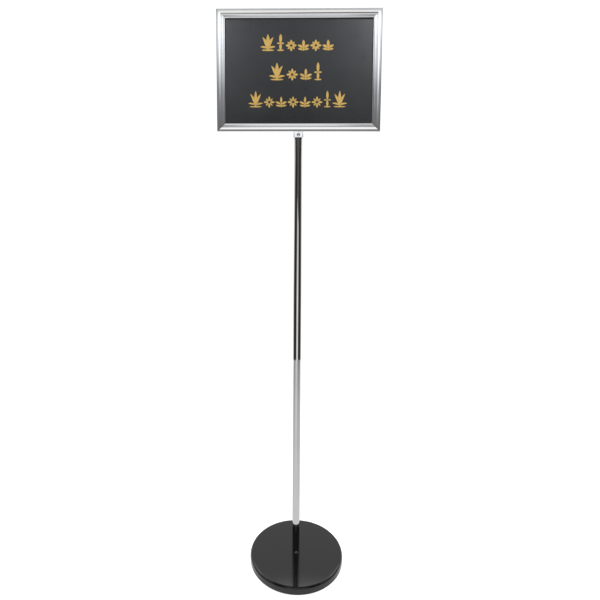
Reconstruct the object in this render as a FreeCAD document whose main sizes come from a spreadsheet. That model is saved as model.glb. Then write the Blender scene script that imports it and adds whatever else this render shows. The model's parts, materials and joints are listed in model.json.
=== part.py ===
"""Sign stand: a weighted round base, a chromed pole and a framed sign that turns on top.

Millimetres, +Z up. The origin is the centre of the base, where it meets the floor, and the
sign faces -Y. The pole stands near the base's rear edge. Every size comes from the sheet.
"""
import FreeCAD, Part
import math
import os
import Sketcher

SIZES = {
    # base
    "base_diameter": 207.5,
    "base_height": 15.5,
    "edge_round": 4.0,
    "cover_gauge": 1.2,
    "cover_lift": 1.2,
    "pad_diameter": 194.0,
    "pad_thickness": 2.0,
    "weight_clearance": 0.3,
    "weight_chamfer": 3.0,
    "weight_foot_chamfer": 1.0,
    "pad_hole_margin": 0.6,
    "pole_offset": 90.0,
    # bolt that holds the pole, M8
    "bolt_radius": 3.95,
    "bolt_thread_radius": 4.0,
    "bolt_clearance_radius": 4.4,
    "bolt_head_flats": 13.0,
    "bolt_head_height": 5.3,
    "bolt_length": 25.0,
    "bolt_end_chamfer": 1.0,
    "bolt_recess_radius": 8.8,
    "bolt_recess_depth": 9.0,
    "washer_radius": 8.0,
    "washer_thickness": 1.6,
    "washer_play": 0.35,
    "spring_radius": 7.2,
    "spring_thickness": 2.0,
    "spring_gap": 1.6,
    "spring_play": 0.15,
    # screw in the cover, M3
    "cover_screw_offset": 9.5,
    "cover_screw_length": 8.0,
    "cover_screw_head_radius": 3.0,
    "cover_screw_head_height": 1.5,
    "cover_screw_head_rim": 0.5,
    "cover_screw_dome": 5.0,
    "cover_screw_socket": 1.15,
    "cover_screw_socket_depth": 0.9,
    "cover_hole_radius": 1.7,
    # pole
    "pole_diameter": 19.0,
    "pole_wall": 1.2,
    "pole_height": 960.5,
    "spun_end_height": 12.0,
    "spun_end_radius": 27.1,
    "spun_end_mouth": 5.5,
    "spun_end_lip": 0.5,
    "insert_play": 0.05,
    "foot_plug_length": 24.5,
    "foot_thread_depth": 20.5,
    "head_plug_length": 20.0,
    "head_thread_depth": 16.0,
    "neck_washer_radius": 9.2,
    "neck_washer_thickness": 1.4,
    "neck_washer_play": 0.2,
    # head fitting and the spindle that it turns on
    "block_start": 962.0,
    "block_diameter": 24.4,
    "block_flats": 14.4,
    "block_foot_flats": 16.6,
    "block_round": 3.3,
    "block_edge": 0.4,
    "spindle_radius": 3.5,
    "spindle_thread_radius": 2.95,
    "spindle_thread_hole": 3.0,
    "spindle_head_radius": 5.2,
    "spindle_head_height": 2.3,
    "spindle_head_gap": 1.4,
    "spindle_socket": 2.3,
    "spindle_socket_depth": 1.6,
    "spindle_end_gap": 2.0,
    "spindle_play": 0.06,
    "counterbore_radius": 5.6,
    "counterbore_depth": 4.5,
    "spring_seat_gauge": 0.45,
    "spring_seat_rise": 0.75,
    "spring_seat_margin": 0.3,
    "spring_seat_play": 0.2,
    "clamp_height": 968.4,
    "clamp_thread_radius": 2.0,
    "clamp_head_radius": 3.8,
    "clamp_head_height": 2.3,
    "clamp_head_rim": 0.8,
    "clamp_dome": 5.6,
    "clamp_socket": 1.75,
    "clamp_socket_depth": 1.5,
    "clamp_seat_radius": 4.1,
    "clamp_gap": 0.15,
    "clamp_tip_gap": 0.25,
    "thread_play": 0.07,
    # frame
    "frame_width": 381.0,
    "frame_height": 275.0,
    "frame_start": 975.0,
    "frame_depth": 14.0,
    "rail_width": 20.0,
    "rail_wall": 1.5,
    "rim_round": 2.0,
    "crown_width": 3.5,
    "step_height": 5.6,
    "step_place": 11.6,
    "cove_radius": 40.0,
    "groove_floor": 4.9,
    "groove_near": 12.0,
    "groove_far": 12.9,
    "flat_height": 5.3,
    "flat_place": 13.3,
    "lip_height": 5.1,
    "bead_width": 3.1,
    "bead_radius": 2.1,
    "bead_fall": 0.1,
    "chamber_half_depth": 4.2,
    "chamber_end": 11.5,
    "channel_half_depth": 2.6,
    "channel_start": 13.2,
    "mitre_gap": 0.05,
    # corner keys and their grub screws, M4
    "key_play": 0.3,
    "key_reach": 36.0,
    "grub_radius": 1.95,
    "grub_hole_radius": 2.0,
    "grub_place": 24.0,
    "grub_rise": 6.5,
    "grub_end": 6.3,
    "grub_socket": 1.15,
    "grub_socket_depth": 1.2,
    # strip and screws between the head fitting and the bottom rail, M3
    "mount_spread": 8.7,
    "mount_plate_length": 44.0,
    "mount_plate_width": 8.0,
    "mount_plate_gauge": 2.5,
    "mount_plate_gap": 0.05,
    "mount_screw_radius": 1.45,
    "mount_tap_radius": 1.5,
    "mount_hole_radius": 1.65,
    "mount_head_radius": 2.75,
    "mount_head_height": 2.2,
    "mount_tap_depth": 7.0,
    "mount_end_gap": 0.5,
    "mount_slot_width": 0.8,
    "mount_slot_depth": 1.0,
    # sign
    "sign_edge": 13.5,
    "sign_face_gauge": 1.0,
    "sign_core_gauge": 2.6,
}

OVERCUT = 2                # how far a cutter reaches past what it cuts
HEX_ARMS = [(math.cos(math.radians(60 * i)), math.sin(math.radians(60 * i))) for i in range(6)]


class Size:
    """A number together with the sheet expression that drives it."""

    def __init__(self, value, text):
        self.value = value
        self.text = text

    def join(self, other, sign, value):
        return Size(value, "(%s %s %s)" % (self.text, sign, as_size(other).text))

    def __add__(self, other):
        return self.join(other, "+", self.value + as_size(other).value)

    def __sub__(self, other):
        return self.join(other, "-", self.value - as_size(other).value)

    def __mul__(self, other):
        return self.join(other, "*", self.value * as_size(other).value)

    def __truediv__(self, other):
        return self.join(other, "/", self.value / as_size(other).value)

    def __neg__(self):
        return self * -1


def as_size(number):
    """A plain number as a Size, so that both kinds can be mixed."""
    return number if isinstance(number, Size) else Size(float(number), "%.9g" % number)


doc = FreeCAD.newDocument("sign_stand")
sheet = doc.addObject("Spreadsheet::Sheet", "Sizes")
for row, (alias, number) in enumerate(SIZES.items(), start=1):
    sheet.set("A%d" % row, alias)
    sheet.set("B%d" % row, str(number))
    sheet.setAlias("B%d" % row, alias)
doc.recompute()


class Sheet:
    """Reads a cell as an attribute: at.pole_wall is the Size of the cell pole_wall."""

    def __getattr__(self, alias):
        return Size(sheet.get(alias), "Sizes." + alias)


at = Sheet()


# ---------------------------------------------------------------- building blocks

def bind(thing, name, size):
    """Set one property and tie it to the sheet."""
    size = as_size(size)
    setattr(thing, name, size.value)
    thing.setExpression(name, size.text)


def place(thing, x=0, y=0, z=0, axis=(0, 0, 1), degrees=0):
    """Put a part in its place, turned about an axis through its own origin."""
    sizes = [as_size(v) for v in (x, y, z)]
    spot = FreeCAD.Vector(*[s.value for s in sizes])
    thing.Placement = FreeCAD.Placement(spot, FreeCAD.Rotation(FreeCAD.Vector(*axis), degrees))
    for letter, size in zip("xyz", sizes):
        thing.setExpression("Placement.Base." + letter, size.text)


def new_body(label):
    body = doc.addObject("PartDesign::Body", label)
    body.Label = label
    return body


def new_sketch(body, plane):
    """An empty sketch on one of the body's own origin planes."""
    sketch = body.newObject("Sketcher::SketchObject", body.Label + "_sketch")
    base = [f for f in body.Origin.OriginFeatures if f.Role == plane][0]
    sketch.AttachmentSupport = [(base, "")]
    sketch.MapMode = "FlatFace"
    return sketch


def hold(sketch, geometry, point, x, y):
    """Fix one point of a sketch at a place bound to the sheet."""
    for kind, size in (("DistanceX", x), ("DistanceY", y)):
        if abs(size.value) < 1e-9:
            line = -2 if kind == "DistanceX" else -1
            sketch.addConstraint(Sketcher.Constraint("PointOnObject", geometry, point, line))
        else:
            index = sketch.addConstraint(
                Sketcher.Constraint(kind, -1, 1, geometry, point, size.value))
            sketch.setExpression("Constraints[%d]" % index, size.text)


def draw_circle(sketch, x, y, radius):
    x, y, radius = as_size(x), as_size(y), as_size(radius)
    middle = FreeCAD.Vector(x.value, y.value, 0)
    circle = sketch.addGeometry(Part.Circle(middle, FreeCAD.Vector(0, 0, 1), radius.value))
    hold(sketch, circle, 3, x, y)
    index = sketch.addConstraint(Sketcher.Constraint("Radius", circle, radius.value))
    sketch.setExpression("Constraints[%d]" % index, radius.text)


def arc_middle(start, end, radius, bulge):
    """The point halfway along an arc that bulges to the right (1) or left (-1) of its chord."""
    chord = end - start
    half = chord.Length / 2
    rise = radius - math.sqrt(radius ** 2 - half ** 2)
    aside = FreeCAD.Vector(chord.y, -chord.x, 0).normalize()
    return (start + end) / 2 + aside * (rise * bulge)


def draw_outline(sketch, corners):
    """A closed outline. A corner is (x, y), or (x, y, radius, bulge) where an arc arrives at it."""
    spots = [(as_size(c[0]), as_size(c[1])) for c in corners]
    points = [FreeCAD.Vector(x.value, y.value, 0) for x, y in spots]
    edges = []
    for i, corner in enumerate(corners):
        start, end = points[i - 1], points[i]
        if len(corner) == 2:
            edges.append(sketch.addGeometry(Part.LineSegment(start, end)))
            continue
        radius = as_size(corner[2])
        middle = arc_middle(start, end, radius.value, corner[3])
        edges.append(sketch.addGeometry(Part.Arc(start, middle, end)))
        index = sketch.addConstraint(Sketcher.Constraint("Radius", edges[-1], radius.value))
        sketch.setExpression("Constraints[%d]" % index, radius.text)

    def end_at(edge, point):
        near = [(sketch.getPoint(edge, end) - point).Length for end in (1, 2)]
        return 1 if near[0] < near[1] else 2

    for i, (x, y) in enumerate(spots):
        arriving, leaving = edges[i], edges[(i + 1) % len(edges)]
        last, first = end_at(arriving, points[i]), end_at(leaving, points[i])
        sketch.addConstraint(Sketcher.Constraint("Coincident", arriving, last, leaving, first))
        hold(sketch, arriving, last, x, y)


def revolve(body, corners):
    """Turn an outline in the XZ plane about the body's Z axis."""
    sketch = new_sketch(body, "XZ_Plane")
    draw_outline(sketch, corners)
    turned = body.newObject("PartDesign::Revolution", body.Label + "_turned")
    turned.Profile = sketch
    turned.ReferenceAxis = (sketch, ["V_Axis"])
    turned.Angle = 360
    doc.recompute()


def pad(body, plane, draw, length, centred=False):
    """Extrude what draw puts into a sketch, along the plane's normal or to both sides of it."""
    sketch = new_sketch(body, plane)
    draw(sketch)
    block = body.newObject("PartDesign::Pad", body.Label + "_pad")
    block.Profile = sketch
    block.Midplane = centred
    bind(block, "Length", length)
    doc.recompute()


def pocket(body, plane, draw, start=0, depth=None, towards=-1):
    """Cut what draw puts into a sketch, from start, for a depth, or right through."""
    sketch = new_sketch(body, plane)
    draw(sketch)
    start = as_size(start)
    sketch.AttachmentOffset.Base.z = start.value
    sketch.setExpression("AttachmentOffset.Base.z", start.text)
    before = body.Shape.Volume
    hole = body.newObject("PartDesign::Pocket", body.Label + "_pocket")
    hole.Profile = sketch
    if depth is None:
        hole.Type = "ThroughAll"
        hole.Midplane = True
    else:
        bind(hole, "Length", depth)
        hole.Reversed = towards > 0
    doc.recompute()
    if body.Shape.Volume > before - 1e-3:
        raise RuntimeError("a pocket in %s cuts nothing" % body.Label)


def hexagon(radius):
    """A draw function: a hexagon about the sketch's origin, radius to its corners."""
    return lambda sketch: draw_outline(sketch, [(radius * c, radius * s) for c, s in HEX_ARMS])


def circles(spots, radius):
    """A draw function: equal circles at the spots."""
    def draw(sketch):
        for x, y in spots:
            draw_circle(sketch, x, y, radius)
    return draw


def cylinder(name, radius, height):
    solid = doc.addObject("Part::Cylinder", name)
    bind(solid, "Radius", radius)
    bind(solid, "Height", height)
    return solid


def box(name, length, width, height):
    solid = doc.addObject("Part::Box", name)
    for side, size in (("Length", length), ("Width", width), ("Height", height)):
        bind(solid, side, size)
    return solid


def cut(name, base, tool):
    result = doc.addObject("Part::Cut", name)
    result.Base = base
    result.Tool = tool
    return result


def fuse(name, shapes):
    result = doc.addObject("Part::MultiFuse", name)
    result.Shapes = shapes
    return result


def group(label, pieces):
    """Equal loose pieces that share one node, each as a separate solid."""
    result = doc.addObject("Part::Compound", label)
    result.Links = pieces
    result.Label = label
    return result


def ring(label, outer, inner, start, thickness):
    """A flat ring on the pole's axis."""
    body = new_body(label)
    top = start + thickness
    revolve(body, [(inner, start), (outer, start), (outer, top), (inner, top)])
    place(body, y=at.pole_offset)
    return body


# ---------------------------------------------------------------- sizes used by several parts

base_radius = at.base_diameter / 2
cover_underside = at.base_height - at.cover_gauge
web_underside = at.pad_thickness + at.bolt_recess_depth
bolt_head_top = web_underside - at.washer_thickness - at.spring_thickness
pole_radius = at.pole_diameter / 2
bore_radius = pole_radius - at.pole_wall
plug_radius = bore_radius - at.insert_play
block_radius = at.block_diameter / 2
block_flat = at.block_flats / 2
block_foot_flat = at.block_foot_flats / 2
block_top = at.frame_start
seat_floor = block_top - at.counterbore_depth
spindle_head_start = seat_floor + at.spindle_head_gap
half_width = at.frame_width / 2
half_height = at.frame_height / 2
frame_top = at.frame_start + at.frame_height
frame_middle = at.frame_start + half_height
half_depth = at.frame_depth / 2
plate_start = at.frame_start + at.rail_wall + at.mount_plate_gap


# ---------------------------------------------------------------- base

def base_cover():
    """Pressed shell over the weight, with a rounded edge and an open underside."""
    body = new_body("base_cover")
    wall = base_radius - at.cover_gauge
    shoulder = at.base_height - at.edge_round
    flat = base_radius - at.edge_round
    revolve(body, [
        (0, at.base_height),
        (0, cover_underside),
        (flat, cover_underside),
        (wall, shoulder, at.edge_round - at.cover_gauge, -1),
        (wall, at.cover_lift),
        (base_radius, at.cover_lift),
        (base_radius, shoulder),
        (flat, at.base_height, at.edge_round, 1),
    ])
    pocket(body, "XY_Plane", circles([(0, at.pole_offset)], at.bolt_clearance_radius))
    pocket(body, "XY_Plane", circles([(0, -at.cover_screw_offset)], at.cover_hole_radius))
    return body


def base_weight():
    """Cast disc with a counterbore for the pole bolt and a tapped hole for the cover screw."""
    body = new_body("base_weight")
    radius = base_radius - at.cover_gauge - at.weight_clearance
    bevel, foot_bevel = at.weight_chamfer, at.weight_foot_chamfer
    low, high = at.pad_thickness, cover_underside
    revolve(body, [
        (0, low),
        (radius - foot_bevel, low),
        (radius, low + foot_bevel),
        (radius, high - bevel),
        (radius - bevel, high),
        (0, high),
    ])
    bolt_spot = [(0, at.pole_offset)]
    pocket(body, "XY_Plane", circles(bolt_spot, at.bolt_clearance_radius))
    pocket(body, "XY_Plane", circles(bolt_spot, at.bolt_recess_radius),
           start=at.pad_thickness, depth=at.bolt_recess_depth, towards=1)
    pocket(body, "XY_Plane", circles([(0, -at.cover_screw_offset)], at.mount_tap_radius),
           start=high, depth=at.cover_screw_length)
    return body


def base_pad():
    """Felt disc under the weight, open at the bolt."""
    body = new_body("base_pad")
    radius = at.pad_diameter / 2
    hole = at.bolt_recess_radius + at.pad_hole_margin
    pad(body, "XY_Plane", circles([(0, 0)], radius), at.pad_thickness)
    pocket(body, "XY_Plane", circles([(0, at.pole_offset)], hole))
    return body


def cover_screw():
    """Small domed screw that holds the cover to the weight."""
    body = new_body("cover_screw")
    top = at.base_height + at.cover_screw_head_height
    low = at.base_height - at.cover_screw_length
    revolve(body, [
        (0, low),
        (at.mount_screw_radius, low),
        (at.mount_screw_radius, at.base_height),
        (at.cover_screw_head_radius, at.base_height),
        (at.cover_screw_head_radius, at.base_height + at.cover_screw_head_rim),
        (0, top, at.cover_screw_dome, 1),
    ])
    pocket(body, "XY_Plane", hexagon(at.cover_screw_socket),
           start=top, depth=at.cover_screw_socket_depth)
    place(body, y=-at.cover_screw_offset)
    return body


def pole_bolt():
    """Hexagon bolt that comes up through the base into the pole."""
    body = new_body("pole_bolt")
    corner = at.bolt_head_flats / math.sqrt(3)
    low = bolt_head_top - at.bolt_head_height

    def draw_head(sketch):
        sketch.AttachmentOffset.Base.z = low.value
        sketch.setExpression("AttachmentOffset.Base.z", low.text)
        hexagon(corner)(sketch)

    pad(body, "XY_Plane", draw_head, at.bolt_head_height)
    high = bolt_head_top + at.bolt_length
    revolve(body, [
        (0, bolt_head_top),
        (at.bolt_radius, bolt_head_top),
        (at.bolt_radius, high - at.bolt_end_chamfer),
        (at.bolt_radius - at.bolt_end_chamfer, high),
        (0, high),
    ])
    place(body, y=at.pole_offset)
    return body


def pole_lock_washer():
    """Split spring washer: a square-section ring with a gap."""
    whole = cylinder("spring_outside", at.spring_radius, at.spring_thickness)
    hole = cylinder("spring_hole", at.bolt_radius + at.spring_play, at.spring_thickness)
    gap = box("spring_gap_tool", at.spring_radius + OVERCUT, at.spring_gap, at.spring_thickness)
    place(gap, y=-at.spring_gap / 2)
    part = cut("pole_lock_washer", whole, fuse("spring_cutters", [hole, gap]))
    part.Label = "pole_lock_washer"
    place(part, y=at.pole_offset, z=bolt_head_top)
    return part


# ---------------------------------------------------------------- pole

def pole_tube():
    """Chromed tube whose lower end is spun in to a narrower mouth."""
    body = new_body("pole_tube")
    foot = at.base_height
    bend = foot + at.spun_end_height
    inner_curve = at.spun_end_radius - at.pole_wall
    revolve(body, [
        (at.spun_end_mouth, foot),
        (at.spun_end_mouth + at.pole_wall, foot),
        (pole_radius, bend, at.spun_end_radius, 1),
        (pole_radius, at.pole_height),
        (bore_radius, at.pole_height),
        (bore_radius, bend),
        (at.spun_end_mouth, foot + at.spun_end_lip, inner_curve, -1),
    ])
    place(body, y=at.pole_offset)
    return body


def pole_foot_insert():
    """Plug in the tube's lower end, tapped for the pole bolt."""
    body = new_body("pole_foot_insert")
    foot = at.base_height
    nose = at.spun_end_mouth - at.insert_play * 2
    start = foot + at.spun_end_height
    end = foot + at.foot_plug_length
    tap_end = foot + at.foot_thread_depth
    revolve(body, [
        (at.bolt_thread_radius, foot),
        (nose, foot),
        (nose, start),
        (plug_radius, start),
        (plug_radius, end),
        (0, end),
        (0, tap_end),
        (at.bolt_thread_radius, tap_end),
    ])
    place(body, y=at.pole_offset)
    return body


def pole_head_insert():
    """Plug in the tube's upper end, tapped for the spindle."""
    body = new_body("pole_head_insert")
    start = at.pole_height - at.head_plug_length
    tap_end = at.pole_height - at.head_thread_depth
    revolve(body, [
        (0, start),
        (plug_radius, start),
        (plug_radius, at.pole_height),
        (at.spindle_thread_hole, at.pole_height),
        (at.spindle_thread_hole, tap_end),
        (0, tap_end),
    ])
    place(body, y=at.pole_offset)
    return body


def swivel_spindle():
    """Shoulder screw: threaded below, a plain journal, and a socket head that keeps the block on."""
    body = new_body("swivel_spindle")
    low = at.pole_height - at.head_thread_depth + at.spindle_end_gap
    high = spindle_head_start + at.spindle_head_height
    revolve(body, [
        (0, low),
        (at.spindle_thread_radius, low),
        (at.spindle_thread_radius, at.pole_height),
        (at.spindle_radius, at.pole_height),
        (at.spindle_radius, spindle_head_start),
        (at.spindle_head_radius, spindle_head_start),
        (at.spindle_head_radius, high),
        (0, high),
    ])
    pocket(body, "XY_Plane", hexagon(at.spindle_socket), start=high, depth=at.spindle_socket_depth)
    place(body, y=at.pole_offset)
    return body


# ---------------------------------------------------------------- head

def swivel_block():
    """Round fitting with a rounded foot that turns on the spindle.

    Its front and back are flat and lean in towards the frame above.
    """
    body = new_body("swivel_block")
    bore = at.spindle_radius + at.spindle_play
    low = at.block_start
    side = low + at.block_round
    revolve(body, [
        (bore, low),
        (block_radius - at.block_round, low),
        (block_radius, side, at.block_round, 1),
        (block_radius, block_top - at.block_edge),
        (block_radius - at.block_edge, block_top),
        (at.counterbore_radius, block_top),
        (at.counterbore_radius, seat_floor),
        (bore, seat_floor),
    ])

    def draw_flats(sketch):
        beyond = block_radius + OVERCUT
        for sign in (-1, 1):
            draw_outline(sketch, [
                (block_flat * sign, block_top),
                (block_foot_flat * sign, low),
                (beyond * sign, low),
                (beyond * sign, block_top),
            ])

    pocket(body, "YZ_Plane", draw_flats)
    pocket(body, "XZ_Plane", circles([(0, at.clamp_height)], at.clamp_seat_radius),
           start=block_flat, depth=block_radius, towards=1)
    pocket(body, "XZ_Plane", circles([(0, at.clamp_height)], at.clamp_thread_radius),
           depth=block_radius, towards=1)
    spots = [(at.mount_spread * sign, 0) for sign in (-1, 1)]
    pocket(body, "XY_Plane", circles(spots, at.mount_tap_radius),
           start=block_top, depth=at.mount_tap_depth)
    place(body, y=at.pole_offset)
    return body


def friction_washer():
    """Conical spring washer between the block's seat and the spindle's head."""
    body = new_body("friction_washer")
    inner = at.spindle_radius + at.spring_seat_play
    outer = at.counterbore_radius - at.spring_seat_margin
    gauge = at.spring_seat_gauge
    low = seat_floor + at.mount_plate_gap
    high = low + at.spring_seat_rise
    revolve(body, [(outer, low), (outer, low + gauge), (inner, high + gauge), (inner, high)])
    place(body, y=at.pole_offset)
    return body


def clamp_screw():
    """Domed screw in a spot face on the block's front; its tip locks the spindle."""
    body = new_body("clamp_screw")
    shank = at.clamp_thread_radius - at.thread_play
    tip = at.spindle_radius + at.clamp_tip_gap - block_flat
    head = at.clamp_head_radius
    seat = at.clamp_gap
    rim = seat + at.clamp_head_rim
    top = seat + at.clamp_head_height
    revolve(body, [
        (0, tip),
        (shank, tip),
        (shank, seat),
        (head, seat),
        (head, rim),
        (0, top, at.clamp_dome, 1),
    ])
    pocket(body, "XY_Plane", hexagon(at.clamp_socket), start=top, depth=at.clamp_socket_depth)
    place(body, y=at.pole_offset - block_flat, z=at.clamp_height, axis=(1, 0, 0), degrees=90)
    return body


# ---------------------------------------------------------------- frame

def draw_rail_profile(sketch):
    """Moulding seen along the rail: outer edge at 0, inner edge at rail_width, alike on both faces."""
    bead_start = at.rail_width - at.bead_width
    crown_end = at.rim_round + at.crown_width
    front = [
        (-half_depth + at.rim_round, 0),
        (-half_depth, at.rim_round, at.rim_round, -1),
        (-half_depth, crown_end),
        (-at.step_height, at.step_place, at.cove_radius, 1),
        (-at.groove_floor, at.groove_near),
        (-at.groove_floor, at.groove_far),
        (-at.flat_height, at.flat_place),
        (-at.lip_height, bead_start),
        (-at.lip_height + at.bead_fall, at.rail_width, at.bead_radius, -1),
        (-at.channel_half_depth, at.rail_width),
        (-at.channel_half_depth, at.channel_start),
    ]
    back = []
    curve = ()
    for corner in reversed(front):
        back.append((-corner[0], corner[1]) + curve)
        curve = corner[2:]
    draw_outline(sketch, front + back)
    wall, depth = at.rail_wall, at.chamber_half_depth
    end = at.chamber_end
    draw_outline(sketch, [(-depth, wall), (depth, wall), (depth, end), (-depth, end)])


def rail(label, length, x, z, degrees):
    """One mitred rail with two holes in its back for the grub screws of the corner keys."""
    body = new_body(label)
    pad(body, "YZ_Plane", draw_rail_profile, length, centred=True)
    half = length / 2
    beyond = at.rail_width + OVERCUT

    def draw_mitres(sketch):
        for sign in (-1, 1):
            outer = (half - at.mitre_gap) * sign
            inner = (half - at.mitre_gap - beyond) * sign
            end = outer + OVERCUT * sign
            draw_outline(sketch, [(outer, 0), (end, 0), (end, beyond), (inner, beyond)])

    pocket(body, "XZ_Plane", draw_mitres)
    spots = [((half - at.grub_place) * sign, at.grub_rise) for sign in (-1, 1)]
    pocket(body, "XZ_Plane", circles(spots, at.grub_hole_radius), depth=half_depth + OVERCUT)
    place(body, x, at.pole_offset, z, axis=(0, 1, 0), degrees=degrees)
    return body


def rail_bottom():
    """The bottom rail, with two more holes for the screws of the head fitting."""
    body = rail("rail_bottom", at.frame_width, 0, at.frame_start, 0)
    spots = [(at.mount_spread * sign, 0) for sign in (-1, 1)]
    pocket(body, "XY_Plane", circles(spots, at.mount_hole_radius),
           start=-OVERCUT, depth=at.rail_wall + OVERCUT * 2, towards=1)
    return body


def corner_keys(label, z, rise):
    """Two L-shaped keys in the rails' chambers; rise is 1 for the lower pair, -1 for the upper."""
    inset = at.rail_wall + at.key_play
    thick = at.chamber_half_depth - at.key_play
    width = at.chamber_end - at.key_play - inset
    reach = at.key_reach - inset
    keys = []
    for name, side in (("left", -1), ("right", 1)):
        arms = []
        for arm, length, height in (("flat", reach, width), ("upright", width, reach)):
            bar = box("%s_%s_%s" % (label, name, arm), length, thick * 2, height)
            start = half_width * side + inset if side < 0 else half_width - inset - length
            low = z + inset if rise > 0 else z - inset - height
            place(bar, start, at.pole_offset - thick, low)
            arms.append(bar)
        keys.append(fuse("%s_%s" % (label, name), arms))
    return group(label, keys)


def grub_screws(label, spots, tip):
    """Socket grub screws in the frame's back, at the (x, z) spots."""
    screws = []
    length = at.grub_end - tip
    for i, (x, z) in enumerate(spots):
        name = "%s_%d" % (label, i)
        shank = cylinder(name + "_shank", at.grub_radius, length)
        socket = doc.addObject("Part::Prism", name + "_socket")
        socket.Polygon = 6
        bind(socket, "Circumradius", at.grub_socket)
        bind(socket, "Height", at.grub_socket_depth + OVERCUT)
        place(socket, z=length - at.grub_socket_depth)
        screw = cut(name, shank, socket)
        place(screw, x, at.pole_offset + tip, z, axis=(1, 0, 0), degrees=-90)
        screws.append(screw)
    return group(label, screws)


def mount_plate():
    """Steel strip inside the bottom rail, under the heads of the two mounting screws."""
    length, width, gauge = at.mount_plate_length, at.mount_plate_width, at.mount_plate_gauge
    strip = box("mount_strip", length, width, gauge)
    place(strip, -length / 2, -width / 2)
    holes = []
    for sign in (-1, 1):
        hole = cylinder("mount_strip_hole", at.mount_hole_radius, gauge + OVERCUT * 2)
        place(hole, at.mount_spread * sign, 0, -OVERCUT)
        holes.append(hole)
    part = cut("mount_plate", strip, fuse("mount_strip_holes", holes))
    part.Label = "mount_plate"
    place(part, 0, at.pole_offset, plate_start)
    return part


def mount_screws():
    """Two cheese-head screws down through strip and rail into the head fitting."""
    head_start = plate_start + at.mount_plate_gauge
    low = block_top - at.mount_tap_depth + at.mount_end_gap
    slot_width, slot_floor = at.mount_slot_width, at.mount_head_height - at.mount_slot_depth
    screws = []
    for name, sign in (("mount_screw_left", -1), ("mount_screw_right", 1)):
        shank = cylinder(name + "_shank", at.mount_screw_radius, head_start - low)
        head = cylinder(name + "_head", at.mount_head_radius, at.mount_head_height)
        place(head, z=head_start - low)
        slot = box(name + "_slot", at.mount_head_radius * 4, slot_width, OVERCUT)
        place(slot, -at.mount_head_radius * 2, -slot_width / 2, head_start - low + slot_floor)
        screw = cut(name, fuse(name + "_blank", [shank, head]), slot)
        place(screw, at.mount_spread * sign, at.pole_offset, low)
        screws.append(screw)
    return group("mount_screws", screws)


# ---------------------------------------------------------------- sign

def sign_sheet(label, near, gauge):
    """One flat sheet of the sign; near is its front face, measured back from the frame's middle."""
    length = at.frame_width - at.sign_edge * 2
    height = at.frame_height - at.sign_edge * 2
    part = box(label, length, gauge, height)
    part.Label = label
    place(part, -length / 2, at.pole_offset + near, at.frame_start + at.sign_edge)
    return part


def build():
    """Every sub-part, in the order of assembly."""
    core_half = at.sign_core_gauge / 2
    tight_tip = at.chamber_half_depth - at.key_play
    loose_tip = at.chamber_half_depth
    side_x = half_width - at.grub_rise
    end_x = half_width - at.grub_place
    low_z, low_side_z = at.frame_start + at.grub_rise, at.frame_start + at.grub_place
    high_z, high_side_z = frame_top - at.grub_rise, frame_top - at.grub_place
    return [
        base_cover(),
        base_weight(),
        base_pad(),
        cover_screw(),
        pole_bolt(),
        pole_lock_washer(),
        ring("pole_flat_washer", at.washer_radius, at.bolt_radius + at.washer_play,
             web_underside - at.washer_thickness, at.washer_thickness),
        pole_tube(),
        pole_foot_insert(),
        pole_head_insert(),
        ring("neck_washer", at.neck_washer_radius, at.spindle_radius + at.neck_washer_play,
             at.pole_height, at.neck_washer_thickness),
        swivel_spindle(),
        swivel_block(),
        friction_washer(),
        clamp_screw(),
        mount_plate(),
        mount_screws(),
        rail_bottom(),
        rail("rail_left", at.frame_height, -half_width, frame_middle, 90),
        rail("rail_right", at.frame_height, half_width, frame_middle, -90),
        rail("rail_top", at.frame_width, 0, frame_top, 180),
        corner_keys("corner_keys_lower", at.frame_start, 1),
        corner_keys("corner_keys_upper", frame_top, -1),
        grub_screws("key_screws_lower", [(-end_x, low_z), (end_x, low_z),
                                         (-side_x, low_side_z), (side_x, low_side_z)], tight_tip),
        grub_screws("key_screws_side", [(-side_x, high_side_z), (side_x, high_side_z)], loose_tip),
        grub_screws("key_screws_top", [(-end_x, high_z), (end_x, high_z)], tight_tip),
        sign_sheet("sign_face_front", -core_half - at.sign_face_gauge, at.sign_face_gauge),
        sign_sheet("sign_core", -core_half, at.sign_core_gauge),
        sign_sheet("sign_face_back", core_half, at.sign_face_gauge),
    ]


def check_and_write(parts):
    """Stop on any failed object, then write one STEP file for each sub-part."""
    doc.recompute()
    failed = [o.Name for o in doc.Objects if {"Invalid", "Error"} & set(o.State)]
    if failed:
        raise RuntimeError("failed objects: " + ", ".join(failed))
    os.makedirs("parts", exist_ok=True)
    for part in parts:
        if part.Shape.isNull() or not part.Shape.isValid():
            raise RuntimeError("bad shape: " + part.Label)
        part.Shape.exportStep("parts/%s.step" % part.Label)
        print("%-20s %d solid(s) %10.1f mm3" % (part.Label, len(part.Shape.Solids),
                                               part.Shape.Volume))


check_and_write(build())
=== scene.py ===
"""Sign stand: a framed sign on a chromed pole with a round black base.

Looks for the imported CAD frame. Units are metres, +Z is up and the sign faces -Y.
"""

import json
import math

import bmesh
import bpy
from mathutils import Matrix, Vector

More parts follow.
